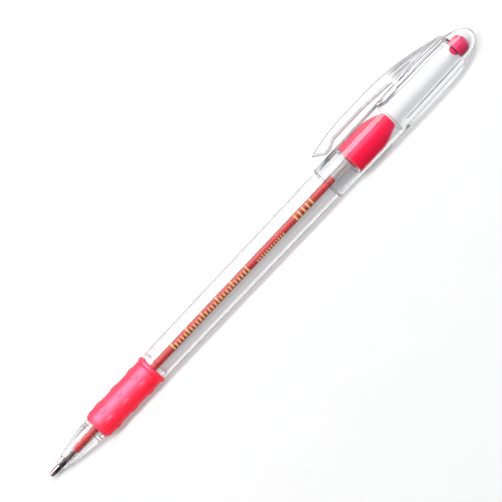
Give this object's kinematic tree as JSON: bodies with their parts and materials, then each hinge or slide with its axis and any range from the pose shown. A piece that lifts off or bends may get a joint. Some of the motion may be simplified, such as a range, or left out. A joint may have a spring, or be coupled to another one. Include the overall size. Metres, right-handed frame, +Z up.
{
  "type": "capped ballpoint pen",
  "caption": "Slim ballpoint pen with a clear hollow barrel, pink bumped rubber grip and red ink refill, lying with its clear clipped cap pushed onto the rear.",
  "frame": {"origin": "on the surface the pen lies on, under the middle of its bounding box", "axes": "+X along the pen from its ball to its cap's round end, +Z up; the clip points to +Y and slightly down"},
  "size_m": [0.165, 0.0152, 0.0111],
  "materials": {
    "clear_plastic": "clear and glossy",
    "pink_rubber": "satin pink rubber",
    "pink_plastic": "glossy pink",
    "tube_plastic": "translucent",
    "red_ink": "thick red ink",
    "point_metal": "turned nickel silver",
    "ball_metal": "polished carbide"
  },
  "bodies": {
    "pen": {"barrel": "clear_plastic", "nose_cone": "clear_plastic", "grip_sleeve": "pink_rubber", "end_plug": "pink_plastic", "refill_tube": "tube_plastic", "ink_column": "red_ink", "point_body": "point_metal"},
    "ball": {"writing_ball": "ball_metal"},
    "cap_plug": {"cap_end_plug": "pink_plastic"},
    "cap": {"cap_shell": "clear_plastic"},
    "clip": {"pocket_clip": "clear_plastic"}
  },
  "joints": [
    {"name": "ball_roll", "type": "hinge", "parent": "pen", "child": "ball", "pos_m": [-0.08195, -0.00202, 0.00555], "axis": [0, 1, 0], "continuous": true},
    {"name": "cap_slide", "type": "slide", "parent": "pen", "child": "cap_plug", "axis": [1, 0, 0], "range_m": [0, 0.03]},
    {"name": "cap_turn", "type": "hinge", "parent": "cap_plug", "child": "cap", "pos_m": [0.05025, -0.00202, 0.00555], "axis": [1, 0, 0], "continuous": true},
    {"name": "clip_flex", "type": "hinge", "parent": "cap", "child": "clip", "pos_m": [0.05735, 0.00553, 0.00228], "axis": [0, -0.3971, -0.9178], "range_deg": [0, 4], "stiffness_Nm_per_rad": 1.5}
  ]
}
